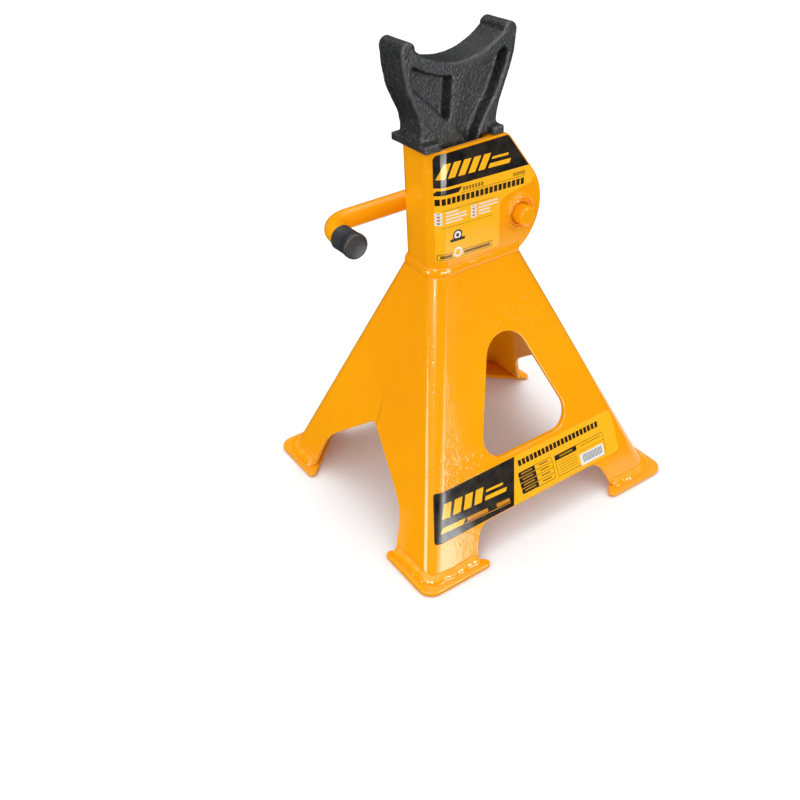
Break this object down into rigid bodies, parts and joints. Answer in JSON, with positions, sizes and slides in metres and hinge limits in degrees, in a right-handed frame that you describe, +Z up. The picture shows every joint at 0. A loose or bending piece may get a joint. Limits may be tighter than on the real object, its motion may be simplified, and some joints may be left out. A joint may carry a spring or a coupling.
{
  "type": "ratchet jack stand",
  "caption": "Orange pyramid jack stand with a cast toothed bar in a U-shaped head, a curved saddle and a bent release handle.",
  "frame": {"origin": "floor level, at the middle of the corner feet", "axes": "+Z up, -Y towards the windowed front face, -X towards the head's closed web and the grip, +X towards the handle pivot"},
  "size_m": [0.198, 0.186, 0.292],
  "materials": {
    "orange_paint": "gloss",
    "black_rubber": "satin",
    "bare_steel": "satin",
    "black_cast_iron": "satin",
    "sticker": "gloss"
  },
  "bodies": {
    "stand": {"base_shell_front": "orange_paint", "base_shell_rear": "orange_paint", "seam_weld_left": "orange_paint", "seam_weld_right": "orange_paint", "foot_plate_front_left": "orange_paint", "foot_plate_front_right": "orange_paint", "foot_plate_rear_left": "orange_paint", "foot_plate_rear_right": "orange_paint", "foot_weld_front_left": "orange_paint", "foot_weld_front_right": "orange_paint", "foot_weld_rear_left": "orange_paint", "foot_weld_rear_right": "orange_paint", "head_channel": "orange_paint", "head_weld": "orange_paint", "guide_crossbar": "orange_paint", "pivot_collar_front": "orange_paint", "pivot_collar_rear": "orange_paint", "head_decal": "sticker", "base_decal": "sticker"},
    "lever": {"handle_rod": "orange_paint", "grip_cap": "black_rubber", "pawl": "bare_steel", "pawl_pin": "bare_steel"},
    "ratchet": {"ratchet_bar": "black_cast_iron"}
  },
  "joints": [
    {"name": "bar_slide", "type": "slide", "parent": "stand", "child": "ratchet", "axis": [0, 0, 1], "range_m": [0, 0.2145]},
    {"name": "lever_hinge", "type": "hinge", "parent": "stand", "child": "lever", "pos_m": [0.028, 0, 0.184], "axis": [0, 1, 0], "range_deg": [-10, 35]}
  ]
}
